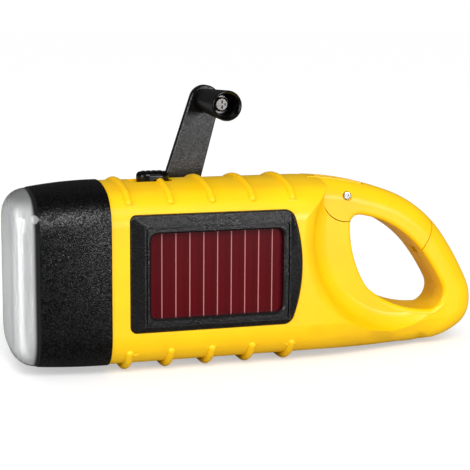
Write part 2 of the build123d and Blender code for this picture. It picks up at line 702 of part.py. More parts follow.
def lens():
    """Clear cap: rounded front, side wall level with the bezel, spigot inside the rim."""
    rim = head_section(RIM_X, 0.25)
    cap = extrude(rim, amount=LENS_FRONT_X - RIM_X)
    front = cap.faces().sort_by(Axis.X)[0]
    cap = fillet(front.edges(), LENS_ROUND)
    hollow = extrude(head_section(RIM_X, 0.25 + LENS_WALL), amount=LENS_FRONT_X + LENS_WALL - RIM_X)
    far = hollow.faces().sort_by(Axis.X)[0]
    hollow = fillet(far.edges(), LENS_ROUND - LENS_WALL)
    spigot = extrude(head_section(RIM_X, HEAD_WALL + 0.1), amount=2.2)
    flange = extrude(head_section(RIM_X, 0.25 + LENS_WALL / 2), amount=-1.2)
    bore = extrude(head_section(RIM_X - 2, HEAD_WALL + 1.3), amount=5)
    return cap - hollow + (spigot + flange - bore)


def lens_seal():
    """Rubber ring behind the lens's spigot."""
    ring = extrude(head_section(RIM_X + 2.25, HEAD_WALL + 0.15), amount=1.0)
    return ring - extrude(head_section(RIM_X + 2, HEAD_WALL + 1.6), amount=2)


def reflector():
    """One bright moulding with three dished cups in a row."""
    front, back = RIM_X + 3.4, LED_BOARD_X - BOARD_THICK
    form = extrude(head_section(front, HEAD_WALL + 0.5), amount=back - front)
    depth = back - front - 1.2
    for index in (-1, 0, 1):
        z = MID_Z + index * CUP_PITCH
        edge = [(depth * step / 4, CUP_R * sqrt(1 - 0.86 * step / 4)) for step in range(5)]
        curve = Spline(*[(x, r) for x, r in edge])
        outline = Curve() + [
            Line((-1, 0), (-1, CUP_R)), Line((-1, CUP_R), edge[0]), curve,
            Line(edge[-1], (depth, 0)), Line((depth, 0), (-1, 0)),
        ]
        plane = Plane(origin=(front, 0, z), x_dir=(1, 0, 0), z_dir=(0, -1, 0))
        form -= revolve(plane * make_face(outline), axis=Axis((front, 0, z), (1, 0, 0)))
        form -= Pos((front + back) / 2, 0, z) * Rot(0, 90, 0) * Cylinder(LED_R + 0.1, back - front + 2)
    for y, z in reflector_screw_places():
        form -= Pos(LED_BOARD_X - 3, y, z) * Rot(0, 90, 0) * Cylinder(SCREW_R - 0.1, 6.2)
    return form


def leds():
    """Three round nosed lamps on the board."""
    lamps = []
    for index in (-1, 0, 1):
        z = MID_Z + index * CUP_PITCH
        back = LED_BOARD_X - BOARD_THICK
        body = Pos(back - 2.5, 0, z) * Rot(0, 90, 0) * Cylinder(LED_R, 5.0)
        lamps.append(body + Pos(back - 5.0, 0, z) * Sphere(LED_R))
    return Compound(children=lamps)


def led_board():
    """Board behind the reflector."""
    form = extrude(head_section(LED_BOARD_X - BOARD_THICK, HEAD_WALL + 1.0), amount=BOARD_THICK)
    for y, z in reflector_screw_places():
        form -= Pos(LED_BOARD_X, y, z) * Rot(0, 90, 0) * Cylinder(SCREW_R, 6)
    return form


def reflector_screw_places():
    """Where the board is screwed to the reflector, between the cups."""
    return [(10.2, MID_Z + CUP_PITCH / 2), (-10.2, MID_Z - CUP_PITCH / 2)]


def reflector_screws():
    """Two small screws through the board."""
    screws = []
    for y, z in reflector_screw_places():
        shank = Pos(LED_BOARD_X - 3, y, z) * Rot(0, 90, 0) * Cylinder(SCREW_R - 0.1, 6)
        head = Pos(LED_BOARD_X + 0.6, y, z) * Rot(0, 90, 0) * Cylinder(SCREW_HEAD_R, 1.2)
        screws.append(shank + head)
    return Compound(children=screws)


# ---------------------------------------------------------------- crank
def lean_plane(y):
    """Sketch plane at depth y whose Y axis runs along the standing arm, from the hub."""
    return Plane(origin=(HUB_X, y, HUB_Z), z_dir=(0, -1, 0),
                 x_dir=(cos(radians(CRANK_LEAN)), 0, -sin(radians(CRANK_LEAN))))


def crank_hub():
    """Hub disc with two ears for the arm's hinge, and the shaft that enters the body."""
    form = rod(HUB_X, HUB_Z, HUB_R, HUB_FLOOR_Y + LOOSE, HUB_TOP_Y)
    ear_x = ARM_ROOT_HALF + 0.2 + EAR_THICK / 2
    ear = Pos(ear_x, 0) * Rectangle(EAR_THICK, 5.0) + Pos(-ear_x, 0) * Rectangle(EAR_THICK, 5.0)
    top = HINGE_Y + 1.9
    form += extrude(lean_plane(top) * ear, amount=top - HUB_TOP_Y + 0.5)
    form += rod(HUB_X, HUB_Z, SHAFT_R, STAGE_ONE_Y - 1.5, HUB_TOP_Y)
    pin = lean_plane(HINGE_Y)
    along = Plane(origin=pin.origin, z_dir=pin.x_dir)
    form -= rod(HUB_X, HUB_Z, SCREW_R, 0, STAGE_ONE_Y + 4.5)
    return form - extrude(along * Circle(HINGE_R), amount=12, both=True)


def arm_hinge_pin():
    """Pin that the arm folds about."""
    frame = lean_plane(HINGE_Y)
    along = Plane(origin=frame.origin, z_dir=frame.x_dir)
    return extrude(along * Circle(HINGE_R), amount=ARM_ROOT_HALF + 0.2 + EAR_THICK, both=True)


def arm_outline(inset=0.0):
    """Tapered arm with a round tip, from the hinge to the knob."""
    throw = CRANK_THROW
    slope = asin((ARM_ROOT_HALF - ARM_TIP_R) / throw)
    tip = ARM_TIP_R - inset
    root = ARM_ROOT_HALF - inset
    start = throw + tip * sin(slope)
    side_x = tip * cos(slope)
    outline = Curve() + [
        Line((-root, inset), (root, inset)),
        Line((root, inset), (side_x, start)),
        ThreePointArc((side_x, start), (0, throw + tip), (-side_x, start)),
        Line((-side_x, start), (-root, inset)),
    ]
    return face_up(outline)


def crank_arm():
    """Flat tapered arm with a bevelled front edge and a rolled root round the hinge."""
    form = extrude(lean_plane(ARM_BACK_Y) * arm_outline(), amount=ARM_THICK)
    rim = form.faces().sort_by(Axis.Y)[0]
    form = chamfer(rim.edges(), 0.35)
    frame = lean_plane(HINGE_Y)
    along = Plane(origin=frame.origin, z_dir=frame.x_dir)
    form += extrude(along * Circle(ARM_THICK / 2), amount=ARM_ROOT_HALF, both=True)
    form -= extrude(along * Circle(HINGE_R + RUN_FIT), amount=20, both=True)
    form += rod(KNOB_X, KNOB_Z, KNOB_BORE_R + 1.2, ARM_FRONT_Y - 0.4, ARM_FRONT_Y + 0.5)
    return form - rod(KNOB_X, KNOB_Z, KNOB_SCREW_R - 0.05, ARM_FRONT_Y - 2, ARM_BACK_Y + 1)


def crank_knob():
    """Hollow flared knob that turns on its screw."""
    root_y = ARM_FRONT_Y - 0.5
    tip_y = ARM_FRONT_Y - KNOB_LENGTH
    floor_y = root_y - KNOB_FLOOR
    inner_floor = KNOB_ROOT_R - KNOB_WALL
    outline = Curve() + [
        Line((KNOB_BORE_R, root_y), (KNOB_ROOT_R, root_y)),
        Line((KNOB_ROOT_R, root_y), (KNOB_TIP_R, tip_y + 0.6)),
        ThreePointArc((KNOB_TIP_R, tip_y + 0.6), (KNOB_TIP_R - 0.2, tip_y + 0.12), (KNOB_TIP_R - 0.45, tip_y)),
        Line((KNOB_TIP_R - 0.45, tip_y), (KNOB_TIP_R - KNOB_WALL, tip_y + 0.3)),
        Line((KNOB_TIP_R - KNOB_WALL, tip_y + 0.3), (inner_floor, floor_y)),
        Line((inner_floor, floor_y), (KNOB_BORE_R, floor_y)),
        Line((KNOB_BORE_R, floor_y), (KNOB_BORE_R, root_y)),
    ]
    plane = Plane(origin=(KNOB_X, 0, KNOB_Z), x_dir=(1, 0, 0), z_dir=(0, 0, 1))
    return revolve(plane * make_face(outline), axis=Axis((KNOB_X, 0, KNOB_Z), (0, 1, 0)))


def knob_washer():
    """Washer under the screw's head, at the bottom of the knob."""
    floor_y = ARM_FRONT_Y - 0.5 - KNOB_FLOOR - 0.05
    ring = Circle(KNOB_ROOT_R - KNOB_WALL - 0.25) - Circle(KNOB_SCREW_R + 0.05)
    return slab(Pos(KNOB_X, KNOB_Z) * ring, floor_y - 0.5, floor_y)


def knob_screw():
    """Cross headed screw that holds the knob to the arm."""
    seat_y = ARM_FRONT_Y - 0.5 - KNOB_FLOOR - 0.55
    form = rod(KNOB_X, KNOB_Z, KNOB_SCREW_R - 0.05, seat_y, ARM_BACK_Y - 0.2)
    head = rod(KNOB_X, KNOB_Z, 2.1, seat_y - 1.3, seat_y)
    head = fillet(head.faces().sort_by(Axis.Y)[0].edges(), 0.5)
    cross = Rectangle(2.4, 0.6) + Rectangle(0.6, 2.4)
    return form + head - slab(Pos(KNOB_X, KNOB_Z) * cross, seat_y - 2, seat_y - 0.6)


def hub_bush():
    """Flanged bush pressed in the back shell, in which the hub's shaft turns."""
    form = rod(HUB_X, HUB_Z, SHAFT_R + 1.5, HUB_FLOOR_Y - 2.4, HUB_FLOOR_Y)
    form += rod(HUB_X, HUB_Z, SHAFT_R + 2.6, HUB_FLOOR_Y - 2.4, HUB_FLOOR_Y - 2.0)
    return form - rod(HUB_X, HUB_Z, SHAFT_R + RUN_FIT, 0, 30)


# ---------------------------------------------------------------- gear train
def gear_sketch(teeth, phase):
    """Spur gear outline with straight flanked teeth, one tooth at the phase angle."""
    pitch_r = MODULE * teeth / 2
    tip_r = pitch_r + 0.85 * MODULE
    root_r = pitch_r - 1.2 * MODULE
    step = 2 * pi / teeth
    points = []
    for index in range(teeth):
        centre = radians(phase) + index * step
        for radius, share in ((root_r, -0.33), (tip_r, -0.11), (tip_r, 0.11), (root_r, 0.33)):
            angle = centre + share * step
            points.append((radius * cos(angle), radius * sin(angle)))
    return flat(*points)


def wheel(x, z, teeth, phase, y_from, width, bore):
    """Spur gear on an axis along Y."""
    sketch = gear_sketch(teeth, phase) - Circle(bore)
    return slab(Pos(x, z) * sketch, y_from, y_from + width)


def mesh_phase(teeth, bearing):
    """Phase that puts a gap on the line of centres, for a driven gear seen from behind it."""
    return bearing + 180 + 180 / teeth


def drive_gear():
    """Large gear on the hub's shaft."""
    return wheel(HUB_X, HUB_Z, DRIVE_TEETH, IDLER_BEARING, STAGE_ONE_Y, GEAR_WIDTH, SHAFT_R)


def drive_gear_screw():
    """Screw that holds the drive gear on the shaft's end."""
    end_y = STAGE_ONE_Y - 1.5
    form = rod(HUB_X, HUB_Z, SHAFT_R + 0.9, end_y - 1.2, end_y)
    form += rod(HUB_X, HUB_Z, SCREW_R, end_y, end_y + 6)
    cross = Rectangle(2.6, 0.6) + Rectangle(0.6, 2.6)
    return form - slab(Pos(HUB_X, HUB_Z) * cross, end_y - 3, end_y - 0.5)


def idler_gear():
    """Pinion and wheel in one moulding, on the idler axle."""
    pinion_phase = mesh_phase(IDLER_PINION_TEETH, IDLER_BEARING)
    form = wheel(IDLER_X, IDLER_Z, IDLER_PINION_TEETH, pinion_phase,
                 STAGE_TWO_Y + GEAR_WIDTH - 0.2, GEAR_WIDTH + 0.9, AXLE_R + RUN_FIT)
    form += wheel(IDLER_X, IDLER_Z, IDLER_TEETH, ROTOR_BEARING, STAGE_TWO_Y, GEAR_WIDTH,
                  AXLE_R + RUN_FIT)
    return form


def idler_axle():
    """Steel axle between the back shell and the gear plate."""
    return rod(IDLER_X, IDLER_Z, AXLE_R, PLATE_FRONT_Y + 0.3, INNER_Y - 0.1)


def rotor_pinion():
    """Small pinion pressed on the rotor's shaft."""
    phase = mesh_phase(ROTOR_TEETH, ROTOR_BEARING)
    return wheel(ROTOR_X, ROTOR_Z, ROTOR_TEETH, phase, STAGE_TWO_Y - 0.2, GEAR_WIDTH + 0.5, AXLE_R)


def rotor_shaft():
    """Shaft of the dynamo's magnet."""
    return rod(ROTOR_X, ROTOR_Z, AXLE_R, PLATE_FRONT_Y - STATOR_LONG + 0.5, STAGE_TWO_Y + 3.2)


def rotor_magnet():
    """Round magnet of the dynamo."""
    back = PLATE_FRONT_Y - 0.8
    ring = Circle(MAGNET_R) - Circle(AXLE_R)
    return slab(Pos(ROTOR_X, ROTOR_Z) * ring, back - STATOR_LONG + 2.0, back)


def stator_can():
    """Steel can round the magnet, fixed to the gear plate."""
    ring = Circle(STATOR_OUT_R) - Circle(STATOR_OUT_R - 0.8)
    return slab(Pos(ROTOR_X, ROTOR_Z) * ring, PLATE_FRONT_Y - STATOR_LONG, PLATE_FRONT_Y)


def stator_coil():
    """Ring of windings inside the can."""
    ring = Circle(STATOR_OUT_R - 0.8) - Circle(STATOR_IN_R)
    return slab(Pos(ROTOR_X, ROTOR_Z) * ring, PLATE_FRONT_Y - STATOR_LONG + 1, PLATE_FRONT_Y - 1)


def plate_posts():
    """Posts of the back shell that carry the gear plate."""
    return [
        (HUB_X - 14.2, HUB_Z + 9.0),
        (IDLER_X - 16.5, IDLER_Z - 11.0),
        (IDLER_X + 14.85, IDLER_Z + 4.7),
        (ROTOR_X - 12.5, ROTOR_Z + 11.0),
    ]


def gear_plate():
    """Plate that closes the gear train and carries the dynamo."""
    corners = plate_posts()
    hull = flat(*corners[:3], (ROTOR_X + 8.0, ROTOR_Z + 2.0), corners[3])
    sketch = offset(hull, 2.4)
    form = slab(sketch, PLATE_FRONT_Y, PLATE_Y)
    form -= rod(IDLER_X, IDLER_Z, AXLE_R, 0, 20)
    form -= rod(ROTOR_X, ROTOR_Z, AXLE_R + RUN_FIT, 0, 20)
    form -= [rod(x, z, SCREW_R + 0.1, 0, 20) for x, z in corners]
    return form


def plate_screws():
    """Screws of the gear plate."""
    return Compound(children=[
        rod(x, z, SCREW_R - 0.05, PLATE_FRONT_Y - 0.1, PLATE_Y + 5.5)
        + rod(x, z, SCREW_HEAD_R, PLATE_FRONT_Y - 1.2, PLATE_FRONT_Y)
        for x, z in plate_posts()
    ])


# ---------------------------------------------------------------- power
def battery_cells():
    """Stack of button cells along X."""
    start = BATTERY_X - BUTTON_COUNT * BUTTON_LONG / 2
    cells = []
    for index in range(BUTTON_COUNT):
        x = start + (index + 0.5) * BUTTON_LONG
        cell = Pos(x, BATTERY_Y, BATTERY_Z) * Rot(0, 90, 0) * Cylinder(CELL_R, BUTTON_LONG - 0.1)
        cells.append(cell)
    return Compound(children=cells)


def battery_cradle():
    """Open cradle that holds the cells on the floor of the housing."""
    long = BUTTON_COUNT * BUTTON_LONG + 3
    form = block(BATTERY_X - long / 2, BATTERY_X + long / 2, BATTERY_Y - CELL_R, BATTERY_Y + CELL_R,
                 INNER_LOW, BATTERY_Z - 1)
    form &= extrude(inner_section(BATTERY_X - long, 0.1), amount=2 * long)
    bore = Pos(BATTERY_X, BATTERY_Y, BATTERY_Z) * Rot(0, 90, 0)
    return form - bore * Cylinder(CELL_R + 0.05, BUTTON_COUNT * BUTTON_LONG + 0.2)


def main_board():
    """Control board on the inside of the panel side."""
    back = CELL_BACK_Y + 1.3
    return block(-14, 20, back, back + BOARD_THICK, WINDOW_LOW + 6, WINDOW_HIGH)


# ---------------------------------------------------------------- switch
def switch_cuts():
    """Seat and slot for the slider in the top of the housing."""
    reach = CAP_LONG / 2 + LOOSE
    seat = block(SWITCH_X - reach - SWITCH_TRAVEL, SWITCH_X + reach,
                 -CAP_WIDE / 2 - LOOSE, CAP_WIDE / 2 + LOOSE, BODY_TOP - CAP_SEAT, BODY_TOP + 5)
    slot = block(SWITCH_X - 1.5 - LOOSE - SWITCH_TRAVEL, SWITCH_X + 1.5 + LOOSE,
                 -1.5, 1.5, INNER_HIGH - 2, BODY_TOP + 5)
    return seat + slot


def switch_slider():
    """Domed cap with cross ridges, and the stem that moves the switch."""
    base = BODY_TOP - CAP_SEAT + 0.05
    outline = Pos(SWITCH_X, 0, base) * RectangleRounded(CAP_LONG, CAP_WIDE, CAP_WIDE / 2 - 0.1)
    cap = extrude(outline, amount=CAP_SEAT + CAP_HIGH)
    cap = fillet(cap.faces().sort_by(Axis.Z)[-1].edges(), 1.3)
    for index in range(-2, 3):
        x = SWITCH_X + index * 1.6
        cap -= block(x - 0.3, x + 0.3, -5, 5, BODY_TOP + CAP_HIGH - 0.5, BODY_TOP + 6)
    stem = block(SWITCH_X - 1.5, SWITCH_X + 1.5, -1.1, 1.1, INNER_HIGH - 4.4, base + 0.2)
    return cap + stem


def switch_body():
    """Slide switch under the top wall, with the slot that the stem works in."""
    top = INNER_HIGH
    form = block(SWITCH_X - 6, SWITCH_X + 4.5, -3.2, 3.2, top - 6.5, top - 0.2)
    return form - block(SWITCH_X - 1.8 - SWITCH_TRAVEL, SWITCH_X + 1.8, -1.4, 1.4, top - 4.8, top + 1)


# ---------------------------------------------------------------- fasteners
def housing_screws():
    """Five screws that hold the halves together."""
    screws = []
    for x, z in screw_places():
        head = rod(x, z, SCREW_HEAD_R, 2.4, 2.4 + SCREW_HEAD_LONG)
        cross = Pos(x, z) * (Rectangle(2.4, 0.6) + Rectangle(0.6, 2.4))
        head -= slab(cross, 2.4 + SCREW_HEAD_LONG - 0.8, 10)
        screws.append(head + rod(x, z, SCREW_R - 0.05, -5.0, 2.4))
    return Compound(children=screws)


# ---------------------------------------------------------------- writing
PARTS = {
    "front_shell": front_shell,
    "back_shell": back_shell,
    "head_bezel": head_bezel,
    "lens": lens,
    "lens_seal": lens_seal,
    "reflector": reflector,
    "leds": leds,
    "led_board": led_board,
    "reflector_screws": reflector_screws,
    "solar_frame": solar_frame,
    "solar_cell": solar_cell,
    "switch_slider": switch_slider,
    "switch_body": switch_body,
    "gate_front": lambda: gate_half(-1),
    "gate_back": lambda: gate_half(1),
    "gate_pin": gate_pin,
    "gate_spring": gate_spring,
    "crank_hub": crank_hub,
    "arm_hinge_pin": arm_hinge_pin,
    "crank_arm": crank_arm,
    "crank_knob": crank_knob,
    "knob_washer": knob_washer,
    "knob_screw": knob_screw,
    "hub_bush": hub_bush,
    "drive_gear": drive_gear,
    "drive_gear_screw": drive_gear_screw,
    "idler_gear": idler_gear,
    "idler_axle": idler_axle,
    "rotor_pinion": rotor_pinion,
    "rotor_shaft": rotor_shaft,
    "rotor_magnet": rotor_magnet,
    "stator_can": stator_can,
    "stator_coil": stator_coil,
    "gear_plate": gear_plate,
    "plate_screws": plate_screws,
    "battery_cells": battery_cells,
    "battery_cradle": battery_cradle,
    "main_board": main_board,
    "housing_screws": housing_screws,
}


def main():
    """Builds each piece and writes it to the parts folder."""
    os.makedirs("parts", exist_ok=True)
    for name, make in PARTS.items():
        export_step(make(), f"parts/{name}.step")


if __name__ == "__main__":
    main()
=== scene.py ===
"""Finish and setting of the hand crank torch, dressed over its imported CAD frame."""

import math

import bmesh
import bpy
from mathutils import Matrix, Vector

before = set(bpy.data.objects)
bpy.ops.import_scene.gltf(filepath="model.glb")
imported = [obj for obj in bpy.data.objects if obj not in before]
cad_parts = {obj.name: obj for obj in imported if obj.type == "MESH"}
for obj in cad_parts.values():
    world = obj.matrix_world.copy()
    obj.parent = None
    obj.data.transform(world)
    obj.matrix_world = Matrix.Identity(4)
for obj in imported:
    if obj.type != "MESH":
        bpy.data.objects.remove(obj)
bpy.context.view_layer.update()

bl_info = {
    "name": "Hand crank torch",
    "version": (1, 0, 0),
    "blender": (4, 5, 0),
    "location": "View3D > Sidebar > Torch",
    "description": "Dresses the torch's moulded, metal and lit pieces and sets the studio",
    "category": "Object",
}

MM = 0.001

# which nodes take which finish
YELLOW_MOULDINGS = ("front_shell", "back_shell", "gate_front", "gate_back")
STEEL_PIECES = ("gate_pin", "arm_hinge_pin", "idler_axle", "rotor_shaft")
KNOB_STEEL = ("knob_screw", "knob_washer")
SCREWS = ("housing_screws", "plate_screws", "reflector_screws", "drive_gear_screw")
ACETAL_GEARS = ("drive_gear", "idler_gear")
BRASS_PIECES = ("hub_bush", "rotor_pinion")
INNER_MOULDINGS = ("gear_plate", "battery_cradle")
BOARDS = ("main_board", "led_board")

# fixed colours
CLEAR = (0.97, 0.98, 0.985, 1.0)
SMOKED = (0.012, 0.012, 0.013, 1.0)
WHITE = (1.0, 1.0, 1.0, 1.0)
SCUFFED_BLACK = (0.05, 0.05, 0.05, 1.0)
FLOOR_TONE = (0.6, 0.6, 0.6, 1.0)
FLOOR_IN_GLOSS = (0.15, 0.15, 0.15, 1.0)
BOARD_GREEN = (0.01, 0.09, 0.03, 1.0)
TRACK_GREEN = (0.03, 0.18, 0.06, 1.0)
COPPER = (0.5, 0.16, 0.04, 1.0)
COPPER_GAP = (0.2, 0.05, 0.01, 1.0)
WARM_SHARE = (1.0, 0.97, 0.92)

# places on the torch, in metres
HEAD_MIDDLE_Z = 0.027       # height where the head's side bulges most
CAP_BACK_X = -0.0501        # where the clear cap's dark seat begins
CAP_MIDDLE_Z = 0.0258
CAP_SEAT_REACH = 0.0205     # from there up and down, where the seat shows again

# the clear cap: how far light passes, and how much of that its seat takes
CAP_PASSES = 0.72
CAP_SEAT_TAKES = 0.62

# glints of the black grain: the least, and what the sparkling facets add
GLINT_LEAST = 0.12
GLINT_IF_SMOOTH = 0.25
GLINT_FACETS = 0.7

# studio: direction of the key light; place, aim and size of the two soft lights
KEY_FROM = (-0.12, -1.0, 0.9)
FILL_PLACE, FILL_AIM, FILL_SIZE = (0.3, -0.75, 0.1), (0.02, 0, 0.03), (0.3, 0.16)
EDGE_PLACE, EDGE_AIM, EDGE_SIZE = (-0.65, -0.24, 0.1), (0.0, 0, 0.05), (0.12, 0.7)
FLOOR_LIFT = 0.45           # light of the floor's own that only the camera sees
SENSOR_WIDTH = 36.0


# ------------------------------------------------------------------ settings
class TorchColours(bpy.types.PropertyGroup):
    """Colours of the torch's mouldings and fittings."""

    yellow: bpy.props.FloatVectorProperty(
        name="Housing", description="Colour of the housing and the gate", subtype="COLOR",
        size=4, min=0, max=1, default=(0.94, 0.575, 0.001, 1.0))
    yellow_deep: bpy.props.FloatVectorProperty(
        name="Housing, deep", description="Colour of the thicker, darker flow marks", subtype="COLOR",
        size=4, min=0, max=1, default=(0.88, 0.5, 0.0005, 1.0))
    black: bpy.props.FloatVectorProperty(
        name="Grained black", description="Colour of the head and the crank", subtype="COLOR",
        size=4, min=0, max=1, default=(0.0016, 0.0015, 0.0017, 1.0))
    frame_black: bpy.props.FloatVectorProperty(
        name="Frame black", description="Colour of the solar frame", subtype="COLOR",
        size=4, min=0, max=1, default=(0.005, 0.0045, 0.005, 1.0))
    cell_red: bpy.props.FloatVectorProperty(
        name="Cell", description="Colour of the solar cell's strips", subtype="COLOR",
        size=4, min=0, max=1, default=(0.068, 0.0008, 0.0028, 1.0))
    cell_line: bpy.props.FloatVectorProperty(
        name="Cell lines", description="Colour of the fine lines between the strips", subtype="COLOR",
        size=4, min=0, max=1, default=(0.42, 0.16, 0.16, 1.0))
    lamp: bpy.props.FloatVectorProperty(
        name="Lamps", description="Colour of the lit lamps", subtype="COLOR",
        size=4, min=0, max=1, default=WHITE)


class TorchFinish(bpy.types.PropertyGroup):
    """Sizes of the surface detail."""

    grain_size: bpy.props.FloatProperty(
        name="Grain", description="Pitch of the moulded grain on the black pieces", unit="LENGTH",
        default=0.3 * MM, min=0.05 * MM, max=2 * MM, precision=5)
    grain_depth: bpy.props.FloatProperty(
        name="Grain depth", description="Depth of that grain", unit="LENGTH",
        default=0.07 * MM, min=0, max=0.5 * MM, precision=6)
    strip_pitch: bpy.props.FloatProperty(
        name="Cell strip", description="Distance between the lines of the solar cell", unit="LENGTH",
        default=4.02 * MM, min=1 * MM, max=20 * MM, precision=5)
    line_width: bpy.props.FloatProperty(
        name="Cell line", description="Width of a line of the solar cell", unit="LENGTH",
        default=0.2 * MM, min=0.02 * MM, max=2 * MM, precision=5)
    first_line: bpy.props.FloatProperty(
        name="First line", description="Place along the torch of the first line", unit="LENGTH",
        default=-14.8 * MM, precision=5)
    lamp_strength: bpy.props.FloatProperty(
        name="Lamp strength", description="Brightness of the lit lamps", default=45.0, min=0, max=100)


class TorchStage(bpy.types.PropertyGroup):
    """The studio: floor, lights and camera."""

    eye: bpy.props.FloatVectorProperty(
        name="Eye", description="Where the camera stands", subtype="TRANSLATION", size=3,
        default=(-108.77 * MM, -381.81 * MM, 103.45 * MM))
    aim: bpy.props.FloatVectorProperty(
        name="Aim", description="The point that the camera looks at", subtype="TRANSLATION", size=3,
        default=(5.67 * MM, -18.86 * MM, 39.03 * MM))
    roll: bpy.props.FloatProperty(
        name="Roll", description="Turn of the camera about its view", subtype="ANGLE",
        default=math.radians(0.412))
    focal: bpy.props.FloatProperty(
        name="Focal length", description="Focal length of the camera, in millimetres", default=106.25)
    sun_level: bpy.props.FloatProperty(
        name="Key light", description="Strength of the broad soft light from the front",
        default=1.9, min=0)
    sun_width: bpy.props.FloatProperty(
        name="Key width", description="Apparent width of that light", subtype="ANGLE",
        default=math.radians(30))
    fill_power: bpy.props.FloatProperty(
        name="Fill light", description="Power of the soft light at the front",
        default=2.2, min=0, unit="POWER")
    rim_power: bpy.props.FloatProperty(
        name="Edge light", description="Power of the strip light at the left",
        default=3.0, min=0, unit="POWER")
    world_level: bpy.props.FloatProperty(
        name="Room level", description="Brightness of the pale room", default=0.5, min=0, max=2)
    gloss_level: bpy.props.FloatProperty(
        name="Room in gloss", description="Brightness of the room as the glossy pieces show it",
        default=0.05, min=0, max=2)
    floor_span: bpy.props.FloatProperty(
        name="Floor", description="Width of the floor", unit="LENGTH", default=8.0, min=1)


# ------------------------------------------------------------------ node tools
def new_group(name, inputs, outputs):
    """A node group with named sockets; returns it with its input and output nodes."""
    group = bpy.data.node_groups.new(name, "ShaderNodeTree")
    for label, kind, value in inputs:
        socket = group.interface.new_socket(label, in_out="INPUT", socket_type=kind)
        if value is not None:
            socket.default_value = value
    for label, kind in outputs:
        group.interface.new_socket(label, in_out="OUTPUT", socket_type=kind)
    return group, group.nodes.new("NodeGroupInput"), group.nodes.new("NodeGroupOutput")


def add(tree, kind, **settings):
    """Adds a node and sets its properties."""
    node = tree.nodes.new(kind)
    for key, value in settings.items():
        setattr(node, key, value)
    return node


def maths(tree, operation, first, second=None, clamp=False):
    """A Math node whose operands are sockets or numbers; returns its output."""
    node = add(tree, "ShaderNodeMath", operation=operation, use_clamp=clamp)
    for slot, operand in enumerate((first, second)):
        if operand is None:
            continue
        if isinstance(operand, (int, float)):
            node.inputs[slot].default_value = operand
        else:
            tree.links.new(operand, node.inputs[slot])
    return node.outputs[0]


def band(tree, value, low, high, to_low=0.0, to_high=1.0, smooth=False):
    """A Map Range node; returns its output."""
    node = add(tree, "ShaderNodeMapRange", clamp=True)
    node.interpolation_type = "SMOOTHSTEP" if smooth else "LINEAR"
    tree.links.new(value, node.inputs["Value"])
    limits = {"From Min": low, "From Max": high, "To Min": to_low, "To Max": to_high}
    for label, number in limits.items():
        if isinstance(number, (int, float)):
            node.inputs[label].default_value = number
        else:
            tree.links.new(number, node.inputs[label])
    return node.outputs["Result"]


def blend_colours(tree, mask, first, second):
    """A colour Mix node between two colours or sockets; returns its output."""
    node = add(tree, "ShaderNodeMix", data_type="RGBA")
    tree.links.new(mask, node.inputs["Factor"])
    for label, colour in (("A", first), ("B", second)):
        socket = [s for s in node.inputs if s.name == label and s.type == "RGBA"][0]
        if isinstance(colour, bpy.types.NodeSocket):
            tree.links.new(colour, socket)
        else:
            socket.default_value = tuple(colour)
    return [s for s in node.outputs if s.type == "RGBA"][0]


def scaled(colour, factor):
    """The colour with its three channels multiplied, opaque."""
    return tuple(channel * factor for channel in colour[:3]) + (1.0,)


def noise(tree, vector, scale, detail, roughness):
    """A noise texture; returns its value."""
    node = add(tree, "ShaderNodeTexNoise")
    tree.links.new(vector, node.inputs["Vector"])
    if isinstance(scale, (int, float)):
        node.inputs["Scale"].default_value = scale
    else:
        tree.links.new(scale, node.inputs["Scale"])
    node.inputs["Detail"].default_value = detail
    node.inputs["Roughness"].default_value = roughness
    return node.outputs["Fac"]


# ------------------------------------------------------------------ shared effects
def grain_group():
    """Moulded grain: small rounded pits of uneven size."""
    group, inlet, outlet = new_group(
        "Moulded grain",
        [("Vector", "NodeSocketVector", None), ("Pitch", "NodeSocketFloat", 0.0004)],
        [("Height", "NodeSocketFloat"), ("Pits", "NodeSocketFloat"), ("Sparkle", "NodeSocketFloat")])
    scale = maths(group, "DIVIDE", 1.0, inlet.outputs["Pitch"])
    pits = add(group, "ShaderNodeTexVoronoi", feature="SMOOTH_F1")
    group.links.new(inlet.outputs["Vector"], pits.inputs["Vector"])
    group.links.new(scale, pits.inputs["Scale"])
    pits.inputs["Smoothness"].default_value = 0.6
    fine = noise(group, inlet.outputs["Vector"], maths(group, "MULTIPLY", scale, 0.8), 3.0, 0.6)
    height = maths(group, "ADD", maths(group, "MULTIPLY", pits.outputs["Distance"], -0.8), fine)
    group.links.new(height, outlet.inputs["Height"])
    group.links.new(band(group, height, -0.1, 0.35), outlet.inputs["Pits"])
    facets = add(group, "ShaderNodeTexVoronoi", feature="F1")
    group.links.new(inlet.outputs["Vector"], facets.inputs["Vector"])
    group.links.new(scale, facets.inputs["Scale"])
    lot = add(group, "ShaderNodeSeparateColor")
    group.links.new(facets.outputs["Color"], lot.inputs[0])
    group.links.new(band(group, lot.outputs[0], 0.3, 1.0), outlet.inputs["Sparkle"])
    return group


